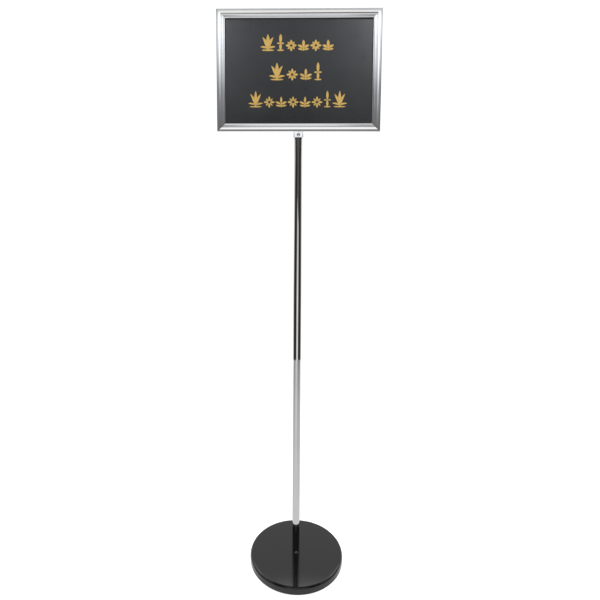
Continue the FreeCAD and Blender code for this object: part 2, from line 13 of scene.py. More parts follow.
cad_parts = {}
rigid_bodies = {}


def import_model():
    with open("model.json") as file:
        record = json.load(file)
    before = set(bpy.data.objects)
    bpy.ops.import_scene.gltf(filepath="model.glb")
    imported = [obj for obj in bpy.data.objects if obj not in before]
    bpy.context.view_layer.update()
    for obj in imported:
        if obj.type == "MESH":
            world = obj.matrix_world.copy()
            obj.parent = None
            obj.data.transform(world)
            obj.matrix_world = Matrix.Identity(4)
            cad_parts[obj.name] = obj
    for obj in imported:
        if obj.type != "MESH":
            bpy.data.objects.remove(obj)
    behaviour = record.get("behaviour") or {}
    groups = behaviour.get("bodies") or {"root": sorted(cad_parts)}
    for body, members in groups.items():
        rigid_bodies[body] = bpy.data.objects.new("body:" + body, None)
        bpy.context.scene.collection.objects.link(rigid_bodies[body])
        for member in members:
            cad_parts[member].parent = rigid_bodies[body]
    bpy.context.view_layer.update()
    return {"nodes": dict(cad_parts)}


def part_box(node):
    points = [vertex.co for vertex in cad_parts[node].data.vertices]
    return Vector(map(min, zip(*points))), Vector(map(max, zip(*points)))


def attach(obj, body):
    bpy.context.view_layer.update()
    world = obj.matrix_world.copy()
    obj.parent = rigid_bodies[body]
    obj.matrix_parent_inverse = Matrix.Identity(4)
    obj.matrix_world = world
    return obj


for leftover in list(bpy.data.objects):
    bpy.data.objects.remove(leftover)

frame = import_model()
MM = 0.001
frame_box = (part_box("rail_bottom")[0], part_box("rail_top")[1])


# ---------------------------------------------------------------- camera

CAMERA_PLACE = Vector((-0.01123, -0.79520, 0.64155))
CAMERA_YAW = -0.01330      # turned slightly towards -X
CAMERA_PITCH = 0.06830     # looking down
CAMERA_ROLL = 0.00440
SENSOR_WIDTH = 36.0
FOCAL_LENGTH = 21.94
SHIFT_X = 0.02024          # the lens axis sits left of the picture's middle


def make_camera():
    forward = Vector((
        math.sin(CAMERA_YAW) * math.cos(CAMERA_PITCH),
        math.cos(CAMERA_YAW) * math.cos(CAMERA_PITCH),
        -math.sin(CAMERA_PITCH),
    ))
    level = Vector((math.cos(CAMERA_YAW), -math.sin(CAMERA_YAW), 0.0))
    upright = level.cross(forward)
    right = math.cos(CAMERA_ROLL) * level + math.sin(CAMERA_ROLL) * upright
    up = right.cross(forward)
    data = bpy.data.cameras.new("camera")
    data.sensor_width = SENSOR_WIDTH
    data.lens = FOCAL_LENGTH
    data.shift_x = SHIFT_X
    camera = bpy.data.objects.new("camera", data)
    bpy.context.scene.collection.objects.link(camera)
    turn = Matrix((right, up, -forward)).transposed().to_4x4()
    camera.matrix_world = Matrix.Translation(CAMERA_PLACE) @ turn
    bpy.context.scene.camera = camera


# ---------------------------------------------------------------- node helpers

def add_node(tree, kind, **settings):
    made = tree.nodes.new(kind)
    for name, value in settings.items():
        setattr(made, name, value)
    return made


def plug(tree, value, socket):
    """Link an output to a socket, or set the socket's own number or colour."""
    if isinstance(value, bpy.types.NodeSocket):
        tree.links.new(value, socket)
    else:
        socket.default_value = value


def calculate(tree, operation, *parts):
    made = add_node(tree, "ShaderNodeMath", operation=operation)
    for part, socket in zip(parts, made.inputs):
        plug(tree, part, socket)
    return made.outputs["Value"]


def ramp(tree, source, stops):
    """A colour ramp; stops are (place, grey) or (place, (r, g, b))."""
    made = add_node(tree, "ShaderNodeValToRGB")
    elements = made.color_ramp.elements
    while len(elements) < len(stops):
        elements.new(0.5)
    for element, (place, shade) in zip(elements, stops):
        element.position = place
        rgb = shade if isinstance(shade, tuple) else (shade, shade, shade)
        element.color = (*rgb, 1.0)
    tree.links.new(source, made.inputs["Fac"])
    return made.outputs["Color"]


def blend_colors(tree, factor, first, second):
    made = add_node(tree, "ShaderNodeMix", data_type="RGBA")
    factor_socket, a, b = made.inputs[0], made.inputs[6], made.inputs[7]
    for value, socket in ((factor, factor_socket), (first, a), (second, b)):
        plug(tree, value, socket)
    return made.outputs[2]


def remap(tree, source, low, high, new_low, new_high):
    made = add_node(tree, "ShaderNodeMapRange")
    for value, socket in zip((source, low, high, new_low, new_high), made.inputs):
        plug(tree, value, socket)
    return made.outputs["Result"]


def camera_split(tree, mirrored, seen):
    """One shader for what is seen straight on, another for what surfaces mirror or gather."""
    both = add_node(tree, "ShaderNodeMixShader")
    tree.links.new(add_node(tree, "ShaderNodeLightPath").outputs["Is Camera Ray"], both.inputs[0])
    tree.links.new(mirrored, both.inputs[1])
    tree.links.new(seen, both.inputs[2])
    return both.outputs[0]


# ---------------------------------------------------------------- studio

BACKGROUND = 1.06
AISLE = Vector((-0.24, -0.97, 0.0)).normalized()   # pale strip of floor towards the camera
AISLE_EDGE = (0.84, 0.89)
DOORWAY = Vector((0.03, -1.0, 0.0)).normalized()  # bright gap between the dark flats
DOORWAY_EDGE = (0.905, 0.935)
DOORWAY_TOP = 0.175
DOORWAY_FOOT = -0.30
DOORWAY_LEAN = 0.10
DOORWAY_BRIGHT_BELOW = -0.05
DOORWAY_LIGHT = (1.15, 0.72)                       # brightness, low down and at the top
DOORWAY_TINT = (1.0, 0.99, 0.97)
DOORWAY_DIM = (0.150, 0.140, 0.132, 1.0)
FLAT_DARK = (0.046, 0.041, 0.037)
LEAST_LEVEL = 0.01             # keeps the bearing finite straight up and down

# brightness ahead of the sign, by the sine of the elevation: dark flats, then softboxes
ROOM = [
    (-1.00, FLAT_DARK),
    (0.28, FLAT_DARK),
    (0.34, (0.11, 0.11, 0.11)),
    (0.39, (0.26, 0.265, 0.275)),
    (0.437, (0.86, 0.88, 0.91)),
    (0.48, (1.76, 1.80, 1.86)),
    (0.54, (3.00, 3.06, 3.15)),
    (1.00, (3.40, 3.46, 3.55)),
]
# how far the softboxes hang below the middle's edge, by the sine of the azimuth
BOX_DROP = [
    (-1.0, -0.035), (-0.76, -0.035), (-0.68, 0.010), (-0.30, 0.010), (-0.22, 0.0),
    (0.22, 0.0), (0.30, -0.015), (0.68, -0.015), (0.76, -0.035), (1.0, -0.035),
]
# how much of their light the softboxes give, by the size of the azimuth's sine
BOX_STRENGTH = [(0.0, 0.45), (0.12, 0.45), (0.18, 0.27), (0.215, 0.27), (0.26, 0.70), (0.48, 0.70),
                (0.56, 0.04), (1.0, 0.04)]
BOX_FADE = (0.36, 0.42)        # sines of the elevation from which BOX_STRENGTH counts
BOX_TOP = (0.552, 0.560)       # where the softboxes end and the ceiling begins
# the strip of ceiling over the stand, by the sine of the elevation
CEILING = [(0.0, 0.45), (0.572, 0.45), (0.59, 0.12), (0.655, 0.12), (0.675, 1.0), (0.84, 1.05),
           (0.87, 0.25), (1.0, 0.20)]
CEILING_HALF_WIDTH = (0.24, 0.32)
DARK_CEILING = (0.10, 0.10, 0.10, 1.0)
# brightness behind the stand, by the sine of the elevation
BACKDROP = [(-1.0, 1.25), (-0.32, 1.25), (-0.24, 0.84), (-0.05, 0.84), (0.0, 1.10), (0.40, 1.10),
            (0.48, 0.84), (0.662, 0.84), (0.676, 2.6), (0.78, 2.6), (0.82, 0.30), (1.0, 0.30)]
# how far round the sides the backdrop reaches, by the sine of the elevation
WRAP = [(-1.0, 0.0), (0.0, 0.0), (0.345, 0.48), (0.375, 0.0), (0.62, 0.0), (0.66, 0.90),
        (1.0, 0.90)]
WRAP_EDGE = (0.43, 0.50)       # from the room's side to the backdrop's
# a grey screen straight behind the stand, mirrored by the frame's back: its share of the
# backdrop's light, its soft sides by the cosine of the bearing, its height by the elevation
SCREEN_SHADE = 0.42
SCREEN_SIDE = (0.80, 0.96)
SCREEN = [(-1.0, 0.0), (-0.31, 0.0), (-0.25, 1.0), (0.40, 1.0), (0.48, 0.0), (1.0, 0.0)]


def along_mask(tree, x, y, direction, edge):
    """1 where the unit vector x, y points along direction, 0 elsewhere."""
    along = calculate(tree, "ADD", calculate(tree, "MULTIPLY", x, direction.x),
                      calculate(tree, "MULTIPLY", y, direction.y))
    return remap(tree, along, *edge, 0.0, 1.0)


def signed_ramp(tree, source, stops, offset=0.0):
    """A grey ramp over a source that runs from -1 to 1; offset keeps every stop above zero."""
    half = calculate(tree, "MULTIPLY_ADD", source, 0.5, 0.5)
    shade = ramp(tree, half, [((place + 1) / 2, value if isinstance(value, tuple)
                               else value + offset) for place, value in stops])
    return calculate(tree, "SUBTRACT", shade, offset) if offset else shade


def look_directions(tree):
    """A ray's x, the sine of its elevation, and how far it points sideways and ahead on the level."""
    split = add_node(tree, "ShaderNodeSeparateXYZ")
    tree.links.new(add_node(tree, "ShaderNodeTexCoord").outputs["Generated"], split.inputs[0])
    x, y, z = split.outputs
    level = calculate(tree, "SQRT", calculate(tree, "SUBTRACT", 1.0,
                                              calculate(tree, "MULTIPLY", z, z)))
    level = calculate(tree, "MAXIMUM", level, LEAST_LEVEL)
    return x, z, calculate(tree, "DIVIDE", x, level), calculate(tree, "DIVIDE", y, level)


def softboxes(tree, z, side):
    """Dark flats with a row of softboxes above them."""
    drop = signed_ramp(tree, side, BOX_DROP, offset=0.5)
    boxes = signed_ramp(tree, calculate(tree, "ADD", z, drop), ROOM)
    strength = ramp(tree, calculate(tree, "ABSOLUTE", side), BOX_STRENGTH)
    scaled = add_node(tree, "ShaderNodeMix", data_type="RGBA", blend_type="MULTIPLY")
    plug(tree, remap(tree, z, *BOX_FADE, 0.0, 1.0), scaled.inputs[0])
    plug(tree, boxes, scaled.inputs[6])
    plug(tree, strength, scaled.inputs[7])
    return scaled.outputs[2]


def with_doorway(tree, room, z, side, ahead):
    """The room with a bright doorway between the flats and a dim strip above it."""
    doorway = along_mask(tree, side, ahead, DOORWAY, DOORWAY_EDGE)
    strip = calculate(tree, "MULTIPLY", doorway, calculate(tree, "LESS_THAN", z, BOX_FADE[0]))
    room = blend_colors(tree, strip, room, DOORWAY_DIM)
    leaning = calculate(tree, "MULTIPLY_ADD", side, DOORWAY_LEAN, z)
    opening = calculate(tree, "MULTIPLY", doorway, calculate(
        tree, "MULTIPLY", calculate(tree, "LESS_THAN", leaning, DOORWAY_TOP),
        calculate(tree, "GREATER_THAN", z, DOORWAY_FOOT)))
    light = remap(tree, z, DOORWAY_BRIGHT_BELOW, DOORWAY_TOP, *DOORWAY_LIGHT)
    door_light = add_node(tree, "ShaderNodeCombineColor")
    for socket, share in zip(door_light.inputs, DOORWAY_TINT):
        plug(tree, calculate(tree, "MULTIPLY", light, share), socket)
    return blend_colors(tree, opening, room, door_light.outputs[0])


def with_ceiling(tree, room, x, z):
    """The room below, and above the softboxes a lit strip of a dark ceiling."""
    strip = ramp(tree, z, CEILING)
    beside = remap(tree, calculate(tree, "ABSOLUTE", x), *CEILING_HALF_WIDTH, 0.0, 1.0)
    overhead = blend_colors(tree, beside, strip, DARK_CEILING)
    return blend_colors(tree, remap(tree, z, *BOX_TOP, 0.0, 1.0), room, overhead)


def with_backdrop(tree, room, z, ahead):
    """The room ahead, and a pale backdrop with a grey screen behind the stand."""
    screen = calculate(tree, "MULTIPLY", remap(tree, ahead, *SCREEN_SIDE, 0.0, 1.0),
                       signed_ramp(tree, z, SCREEN))
    backdrop = calculate(tree, "MULTIPLY", signed_ramp(tree, z, BACKDROP, offset=0.01),
                         remap(tree, screen, 0.0, 1.0, 1.0, SCREEN_SHADE))
    wrap = calculate(tree, "ADD", signed_ramp(tree, z, WRAP, offset=0.01), ahead)
    return blend_colors(tree, remap(tree, wrap, *WRAP_EDGE, 0.0, 1.0), room, backdrop)


def make_world():
    """White to the camera; reflections see a studio with dark flats and softboxes."""
    world = bpy.data.worlds.new("studio")
    bpy.context.scene.world = world
    world.use_nodes = True
    tree = world.node_tree
    tree.nodes.clear()
    x, z, side, ahead = look_directions(tree)
    room = with_doorway(tree, softboxes(tree, z, side), z, side, ahead)
    all_round = with_backdrop(tree, with_ceiling(tree, room, x, z), z, ahead)

    studio = add_node(tree, "ShaderNodeBackground")
    tree.links.new(all_round, studio.inputs["Color"])
    plain = add_node(tree, "ShaderNodeBackground")
    plug(tree, (1.0, 1.0, 1.0, 1.0), plain.inputs["Color"])
    plug(tree, BACKGROUND, plain.inputs["Strength"])
    both = camera_split(tree, studio.outputs[0], plain.outputs[0])
    tree.links.new(both, add_node(tree, "ShaderNodeOutputWorld").inputs["Surface"])


FLOOR_RADIUS = 1.86
FLOOR_RINGS = 12
FLOOR_SEGMENTS = 96
FLOOR_WHITE = 0.82
FLOOR_GLOW = 0.72
POLE_Y = sum(corner.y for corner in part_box("pole_tube")) / 2
# mirrored brightness by the share of the radius, brightness of the aisle and of the floor behind,
# and how far behind the pole that floor begins in full
FLOOR_FALLOFF = [(0.0, 1.00), (0.19, 0.87), (0.32, 0.77), (0.52, 0.64), (0.71, 0.53), (1.0, 0.43)]
FLOOR_BRIGHT = (0.97, 0.97, 0.97, 1.0)
FLOOR_BEHIND = 0.3


def make_floor():
    """A round sheet of pale paper, centred on the pole."""
    mesh = bpy.data.meshes.new("floor")
    bm = bmesh.new()
    turns = [2 * math.pi * k / FLOOR_SEGMENTS for k in range(FLOOR_SEGMENTS)]
    rings = []
    for ring in range(1, FLOOR_RINGS + 1):
        radius = FLOOR_RADIUS * ring / FLOOR_RINGS
        rings.append([bm.verts.new((radius * math.cos(a), POLE_Y + radius * math.sin(a), 0.0))
                      for a in turns])
    bm.faces.new(rings[0])
    for inner, outer in zip(rings, rings[1:]):
        for k in range(FLOOR_SEGMENTS):
            n = (k + 1) % FLOOR_SEGMENTS
            bm.faces.new((inner[k], outer[k], outer[n], inner[n]))
    bm.to_mesh(mesh)
    bm.free()
    floor = bpy.data.objects.new("floor", mesh)
    bpy.context.scene.collection.objects.link(floor)
    mesh.materials.append(floor_paper())


def floor_paper():
    """Pale paper to the eye; in reflections it darkens away from the stand."""
    material = bpy.data.materials.new("floor_paper")
    material.use_nodes = True
    tree = material.node_tree
    paper = tree.nodes["Principled BSDF"]
    plug(tree, (FLOOR_WHITE, FLOOR_WHITE, FLOOR_WHITE, 1.0), paper.inputs["Base Color"])
    plug(tree, 0.9, paper.inputs["Roughness"])
    plug(tree, 0.0, paper.inputs["Specular IOR Level"])
    plug(tree, (1.0, 1.0, 1.0, 1.0), paper.inputs["Emission Color"])
    plug(tree, FLOOR_GLOW, paper.inputs["Emission Strength"])

    split = add_node(tree, "ShaderNodeSeparateXYZ")
    tree.links.new(add_node(tree, "ShaderNodeTexCoord").outputs["Object"], split.inputs[0])
    x, y, _ = split.outputs
    y = calculate(tree, "SUBTRACT", y, POLE_Y)
    reach = calculate(tree, "MAXIMUM", 0.001, calculate(
        tree, "SQRT", calculate(tree, "MULTIPLY_ADD", x, x, calculate(tree, "MULTIPLY", y, y))))
    shade = ramp(tree, calculate(tree, "DIVIDE", reach, FLOOR_RADIUS), FLOOR_FALLOFF)
    gap = along_mask(tree, calculate(tree, "DIVIDE", x, reach),
                     calculate(tree, "DIVIDE", y, reach), AISLE, AISLE_EDGE)
    behind = remap(tree, y, 0.0, FLOOR_BEHIND, 0.0, 1.0)
    bright = calculate(tree, "MAXIMUM", gap, behind)
    mirrored = add_node(tree, "ShaderNodeEmission")
    tree.links.new(blend_colors(tree, bright, shade, FLOOR_BRIGHT), mirrored.inputs["Color"])
    both = camera_split(tree, mirrored.outputs[0], paper.outputs[0])
    tree.links.new(both, tree.nodes["Material Output"].inputs["Surface"])
    return material


LAMP_AIM = Vector((0.0, POLE_Y, 1.1))
# place, width and height in metres, watts, and the only nodes that the light reaches, if any
SIGN_SHEET = ("sign_face_front",)
LAMPS = {
    "softbox": ((0.60, -1.60, 2.30), 1.2, 0.8, 20.0, ()),
    "sign_light_right": ((0.70, -0.98, 2.24), 0.42, 0.50, 8.6, SIGN_SHEET),
    "sign_light_left": ((-0.70, -0.98, 2.12), 0.36, 0.50, 5.4, SIGN_SHEET),
}


def make_lamps():
    """Soft lights from above and ahead; shiny surfaces mirror the studio instead."""
    for name, (spot, width, height, watts, only) in LAMPS.items():
        data = bpy.data.lights.new(name, "AREA")
        data.shape = "RECTANGLE"
        data.size, data.size_y = width, height
        data.energy = watts
        lamp = bpy.data.objects.new(name, data)
        bpy.context.scene.collection.objects.link(lamp)
        lamp.location = spot
        lamp.rotation_euler = (LAMP_AIM - lamp.location).to_track_quat("-Z", "Y").to_euler()
        lamp.visible_camera = False
        if only:
            reached = bpy.data.collections.new(name + "_reaches")
            for node in only:
                reached.objects.link(frame["nodes"][node])
            lamp.light_linking.receiver_collection = reached
        else:
            lamp.visible_glossy = False


# ---------------------------------------------------------------- finishes

RIM_RUB = (1.2 * MM, 0.3 * MM)     # how far in from the frame's edge the rubbing fades out, and is full
COVER_RUB = 6 * MM                 # how far in from the base's edge its paint is rubbed
SPECK_CORE = 0.7                   # share of a speck's radius that is full strength


class Finish:
    """A material under construction: its shader, and textures laid out in the part's own metres."""

    def __init__(self, name, color, metallic=0.0, roughness=0.5):
        self.material = bpy.data.materials.new(name)
        self.material.use_nodes = True
        self.tree = self.material.node_tree
        self.shader = self.tree.nodes["Principled BSDF"]
        self.place = add_node(self.tree, "ShaderNodeTexCoord").outputs["Object"]
        self.last_bump = None
        self.set("Base Color", (*color, 1.0))
        self.set("Metallic", metallic)
        self.set("Roughness", roughness)

    def set(self, socket, value):
        plug(self.tree, value, self.shader.inputs[socket])

    def stretched(self, stretch):
        if stretch == (1, 1, 1):
            return self.place
        mapping = add_node(self.tree, "ShaderNodeMapping")
        self.tree.links.new(self.place, mapping.inputs["Vector"])
        mapping.inputs["Scale"].default_value = stretch
        return mapping.outputs["Vector"]

    def noise(self, size, detail=3.0, stretch=(1, 1, 1), seed=0.0):
        """Clouds whose lumps are about size metres across."""
        made = add_node(self.tree, "ShaderNodeTexNoise", noise_dimensions="4D")
        self.tree.links.new(self.stretched(stretch), made.inputs["Vector"])
        plug(self.tree, 1.0 / size, made.inputs["Scale"])
        plug(self.tree, detail, made.inputs["Detail"])
        plug(self.tree, seed, made.inputs["W"])
        return made.outputs["Fac"]

    def specks(self, size, radius):
        """1 in small round specks about size metres apart, radius being a share of that."""
        made = add_node(self.tree, "ShaderNodeTexVoronoi")
        self.tree.links.new(self.place, made.inputs["Vector"])
        plug(self.tree, 1.0 / size, made.inputs["Scale"])
        return self.remap(made.outputs["Distance"], radius * SPECK_CORE, radius, 1.0, 0.0)

    def remap(self, source, low, high, new_low, new_high):
        return remap(self.tree, source, low, high, new_low, new_high)

    def calc(self, operation, *parts):
        return calculate(self.tree, operation, *parts)

    def mix(self, factor, first, second):
        return blend_colors(self.tree, factor, first, second)

    def bump(self, height, distance):
        """Add relief that is distance metres deep where height goes from 0 to 1."""
        made = add_node(self.tree, "ShaderNodeBump")
        plug(self.tree, distance, made.inputs["Distance"])
        self.tree.links.new(height, made.inputs["Height"])
        if self.last_bump:
            self.tree.links.new(self.last_bump, made.inputs["Normal"])
        self.last_bump = made.outputs["Normal"]
        self.tree.links.new(self.last_bump, self.shader.inputs["Normal"])

    def far_from_axis(self, x, y):
        """Distance in metres from an upright line."""
        split = add_node(self.tree, "ShaderNodeSeparateXYZ")
        self.tree.links.new(self.place, split.inputs[0])
        dx = self.calc("SUBTRACT", split.outputs[0], x)
        dy = self.calc("SUBTRACT", split.outputs[1], y)
        return self.calc("SQRT", self.calc("MULTIPLY_ADD", dx, dx, self.calc("MULTIPLY", dy, dy)))

    def frame_rim(self):
        """1 along the outer edge of the sign's frame, 0 further in."""
        split = add_node(self.tree, "ShaderNodeSeparateXYZ")
        self.tree.links.new(self.place, split.inputs[0])
        low, high = frame_box
        middle, half = (low.z + high.z) / 2, (high.z - low.z) / 2
        up = self.calc("SUBTRACT", self.calc("ABSOLUTE", self.calc("SUBTRACT", split.outputs[2],
                                                                   middle)), half - high.x)
        reach = self.calc("MAXIMUM", self.calc("ABSOLUTE", split.outputs[0]), up)
        inner, outer = RIM_RUB
        return self.remap(reach, high.x - inner, high.x - outer, 0.0, 1.0)

    def worn_edges(self, low=0.52, high=0.60):
        """0 on flat areas and hollows, 1 on sharp outer edges, broken up by clouds."""
        geometry = add_node(self.tree, "ShaderNodeNewGeometry")
        edge = self.remap(geometry.outputs["Pointiness"], low, high, 0.0, 1.0)
        return self.calc("MULTIPLY", edge, self.remap(self.noise(6 * MM), 0.42, 0.60, 0.0, 1.0))


def gloss_black_paint():
    """Deep black enamel with a few dust nibs, rubbed a little round the rim."""
    f = Finish("gloss_black_paint", (0.004, 0.004, 0.004), 0.0, 0.1)
    cloud = f.noise(40 * MM, 4.0)
    dust = f.calc("MULTIPLY", f.specks(7 * MM, 0.035), f.remap(f.noise(60 * MM), 0.5, 0.62, 0.0, 1.0))
    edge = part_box("base_cover")[1].x
    rim = f.remap(f.far_from_axis(0.0, 0.0), edge - COVER_RUB, edge, 0.0, 1.0)
    rub = f.calc("MULTIPLY", rim, f.remap(f.noise(9 * MM, 5.0, seed=3.0), 0.56, 0.72, 0.0, 1.0))
    paint = f.mix(rub, (0.0035, 0.0035, 0.0036, 1.0), (0.010, 0.0095, 0.009, 1.0))
    f.set("Base Color", f.mix(dust, paint, (0.05, 0.05, 0.048, 1.0)))
    smooth = f.remap(cloud, 0.3, 0.7, 0.05, 0.085)
    f.set("Roughness", f.calc("MAXIMUM", smooth, f.remap(f.calc("MAXIMUM", rub, dust), 0, 1, 0.0, 0.3)))
    f.bump(f.noise(2.4 * MM, 1.0), 3.5e-6)
    f.bump(dust, 1.0e-5)
    return f.material


def chrome():
    """Bright plating over a drawn tube: wiped smears, fine length lines and small pits."""
    f = Finish("chrome", (0.555, 0.558, 0.556), 1.0, 0.05)
    smear = f.noise(22 * MM, 5.0, (1, 1, 0.35))
    lines = f.noise(0.5 * MM, 2.0, (0.06, 0.06, 1.0))
    haze = f.remap(smear, 0.42, 0.72, 0.035, 0.10)
    f.set("Base Color", f.mix(f.remap(smear, 0.35, 0.75, 0.0, 1.0),
                              (0.565, 0.568, 0.566, 1.0), (0.53, 0.528, 0.52, 1.0)))
    pits = f.specks(5 * MM, 0.03)
    f.set("Roughness", f.calc("MAXIMUM", haze, f.remap(pits, 0.0, 1.0, 0.0, 0.35)))
    f.bump(lines, 5.0e-7)
    f.bump(pits, -6.0e-6)
    return f.material


def bright_aluminium(name, stretch):
    """Polished, clear-anodised extrusion; stretch lays the die lines along the rail."""
    f = Finish(name, (0.88, 0.885, 0.895), 1.0, 0.07)
    streak = f.noise(0.6 * MM, 3.0, stretch)
    cloud = f.noise(70 * MM, 3.0)
    f.set("Base Color", f.mix(f.remap(cloud, 0.35, 0.7, 0.0, 1.0),
                              (0.885, 0.89, 0.90, 1.0), (0.865, 0.868, 0.876, 1.0)))
    haze = f.remap(cloud, 0.3, 0.75, 0.055, 0.085)
    rub = f.calc("MULTIPLY", f.frame_rim(), f.remap(f.noise(7 * MM, 5.0), 0.52, 0.66, 0.0, 1.0))
    f.set("Roughness", f.calc("ADD", f.calc("MULTIPLY", f.remap(streak, 0.3, 0.7, 0.85, 1.2), haze),
                              f.calc("MULTIPLY", rub, 0.12)))
    f.bump(streak, 8.0e-7)
    return f.material


def sign_black():
    """Satin black plastic sheet with a fine grain."""
    f = Finish("sign_black", (0.008, 0.0085, 0.0095), 0.0, 0.24)
    f.set("Specular IOR Level", 0.75)
    f.set("Specular Tint", (0.93, 0.96, 1.0, 1.0))
    grain = f.noise(0.6 * MM, 4.0)
    cloud = f.noise(55 * MM, 5.0)
    f.set("Base Color", f.mix(f.remap(cloud, 0.35, 0.7, 0.0, 1.0),
                              (0.0045, 0.0050, 0.0062, 1.0), (0.0060, 0.0065, 0.0077, 1.0)))
    f.set("Roughness", f.calc("ADD", f.remap(grain, 0.2, 0.8, -0.03, 0.03),
                              f.remap(cloud, 0.3, 0.7, 0.27, 0.32)))
    f.bump(grain, 6.0e-6)
    return f.material


def gold_print():
    """Raised gold ink, slightly metallic, with a dry grain."""
    f = Finish("gold_print", (0.88, 0.58, 0.16), 0.25, 0.42)
    grain = f.noise(0.35 * MM, 3.0)
    cloud = f.noise(9 * MM, 4.0)
    f.set("Base Color", f.mix(f.remap(cloud, 0.35, 0.65, 0.0, 1.0),
                              (0.92, 0.61, 0.175, 1.0), (0.84, 0.55, 0.150, 1.0)))
    f.set("Roughness", f.remap(grain, 0.2, 0.8, 0.34, 0.52))
    f.bump(grain, 1.2e-5)
    return f.material


def turned_metal(name, color, low, high, cast=0.0):
    """Plated or machined steel: fine turning lines, clouded roughness, rubbed edges."""
    f = Finish(name, color, 1.0, low)
    cloud = f.noise(6 * MM, 4.0)
    darker = tuple(c * 0.82 for c in color)
    f.set("Base Color", f.mix(f.remap(cloud, 0.35, 0.7, 0.0, 1.0), (*color, 1.0), (*darker, 1.0)))
    f.set("Roughness", f.calc("ADD", f.remap(cloud, 0.3, 0.7, low, high),
                              f.calc("MULTIPLY", f.worn_edges(), 0.1)))
    f.bump(f.noise(0.3 * MM, 2.0, (0.3, 0.3, 1.0)), 4.0e-6)
    if cast:
        f.bump(f.noise(1.6 * MM, 5.0), cast)
    return f.material


def soft_polymer(name, color, roughness, grain_size, grain_depth):
    """Dull moulded or pressed stock with lighter clouds and a grain of its own."""
    f = Finish(name, color, 0.0, roughness)
    cloud = f.noise(12 * MM, 4.0)
    lighter = tuple(c * 1.5 for c in color)
    f.set("Base Color", f.mix(f.remap(cloud, 0.4, 0.7, 0.0, 1.0), (*color, 1.0), (*lighter, 1.0)))
    f.set("Roughness", f.remap(cloud, 0.3, 0.7, roughness - 0.05, roughness + 0.05))
    f.bump(f.noise(grain_size, 4.0), grain_depth)
    return f.material


def felt():
    """Black wool felt with lying fibres."""
    f = Finish("felt", (0.014, 0.014, 0.015), 0.0, 0.95)
    fibre = f.noise(0.8 * MM, 6.0, (1.0, 0.4, 1.0))
    pile = f.noise(7 * MM, 4.0)
    f.set("Base Color", f.mix(f.remap(fibre, 0.35, 0.7, 0.0, 1.0),
                              (0.010, 0.010, 0.011, 1.0), (0.028, 0.028, 0.030, 1.0)))
    f.set("Roughness", f.remap(pile, 0.3, 0.7, 0.88, 1.0))
    f.set("Sheen Weight", 0.35)
    f.bump(fibre, 1.5e-4)
    f.bump(pile, 1.2e-4)
    return f.material


def make_finishes():
    lengthways, upright = (0.02, 1, 1), (1, 1, 0.02)
    return {
        "gloss_black_paint": gloss_black_paint(),
        "cast_iron": turned_metal("cast_iron", (0.10, 0.098, 0.095), 0.55, 0.75, cast=1.2e-4),
        "felt": felt(),
        "plated_steel": turned_metal("plated_steel", (0.76, 0.77, 0.78), 0.30, 0.45),
        "chrome": chrome(),
        "satin_chrome": turned_metal("satin_chrome", (0.86, 0.865, 0.87), 0.34, 0.46),
        "black_nylon": soft_polymer("black_nylon", (0.010, 0.010, 0.010), 0.42, 0.4 * MM, 8.0e-6),
        "bright_aluminium": bright_aluminium("bright_aluminium", lengthways),
        "bright_aluminium_upright": bright_aluminium("bright_aluminium_upright", upright),
        "zinc": turned_metal("zinc", (0.60, 0.61, 0.63), 0.35, 0.5, cast=5.0e-5),
        "black_steel": turned_metal("black_steel", (0.045, 0.045, 0.048), 0.28, 0.42),
        "sign_black": sign_black(),
        "core_board": soft_polymer("core_board", (0.34, 0.27, 0.18), 0.85, 1.2 * MM, 6.0e-5),
        "gold_print": gold_print(),
    }


# nodes whose finish is a variant of the one that their record slot names
VARIANTS = {
    "rail_left": "bright_aluminium_upright",
    "rail_right": "bright_aluminium_upright",
    "clamp_screw": "satin_chrome",
}


def dress_nodes(finishes):
    """Give every CAD node the detailed finish that its record slot names."""
    for name, obj in frame["nodes"].items():
        for slot in obj.material_slots:
            slot_name = slot.material.name.split(".")[0]
            slot.material = finishes[VARIANTS.get(name, slot_name)]


# ---------------------------------------------------------------- gold ornament

PRINT_RAISE = 0.15 * MM
PRINT_STEP = 0.01 * MM      # each stroke lies a little above the one before
PRINT_SINK = 0.03 * MM
LEAF_STEPS = 12


def leaf(length, width, lean=0.0, start=(0.0, 0.0), turn=0.0, blunt=1.0):
    """Left and right edge of a pointed leaf that grows up from start, turned and leaning aside."""
    left, right = [], []
    for i in range(LEAF_STEPS + 1):
        t = i / LEAF_STEPS
        half = width / 2 * math.sin(math.pi * t) ** blunt
        slope = 2 * lean * t / length
        norm = math.hypot(1.0, slope)
        middle = (lean * t * t, length * t)
        for edge, sign in ((left, -1), (right, 1)):
            x = middle[0] + sign * half / norm
            z = middle[1] - sign * half * slope / norm
            edge.append((
                start[0] + x * math.cos(turn) + z * math.sin(turn),
                start[1] - x * math.sin(turn) + z * math.cos(turn),
            ))
    return left, right


def palmette(h):
    """Tall ornament: a spindle between two arching leaves over a foot."""
    foot = 0.16 * h
    return [
        leaf(0.84 * h, 0.26 * h, start=(0, foot), blunt=0.8),
        leaf(0.66 * h, 0.22 * h, 0.27 * h, (0.06 * h, foot), blunt=0.8),
        leaf(0.66 * h, 0.22 * h, -0.27 * h, (-0.06 * h, foot), blunt=0.8),
        leaf(0.34 * h, 0.16 * h, 0.22 * h, (0.07 * h, foot * 0.95), 0.75, 0.8),
        leaf(0.34 * h, 0.16 * h, -0.22 * h, (-0.07 * h, foot * 0.95), -0.75, 0.8),
        leaf(0.76 * h, 0.12 * h, start=(-0.38 * h, 0.06 * h), turn=math.pi / 2, blunt=0.4),
        leaf(0.12 * h, 0.16 * h, start=(0, 0.09 * h), blunt=0.6),
    ]


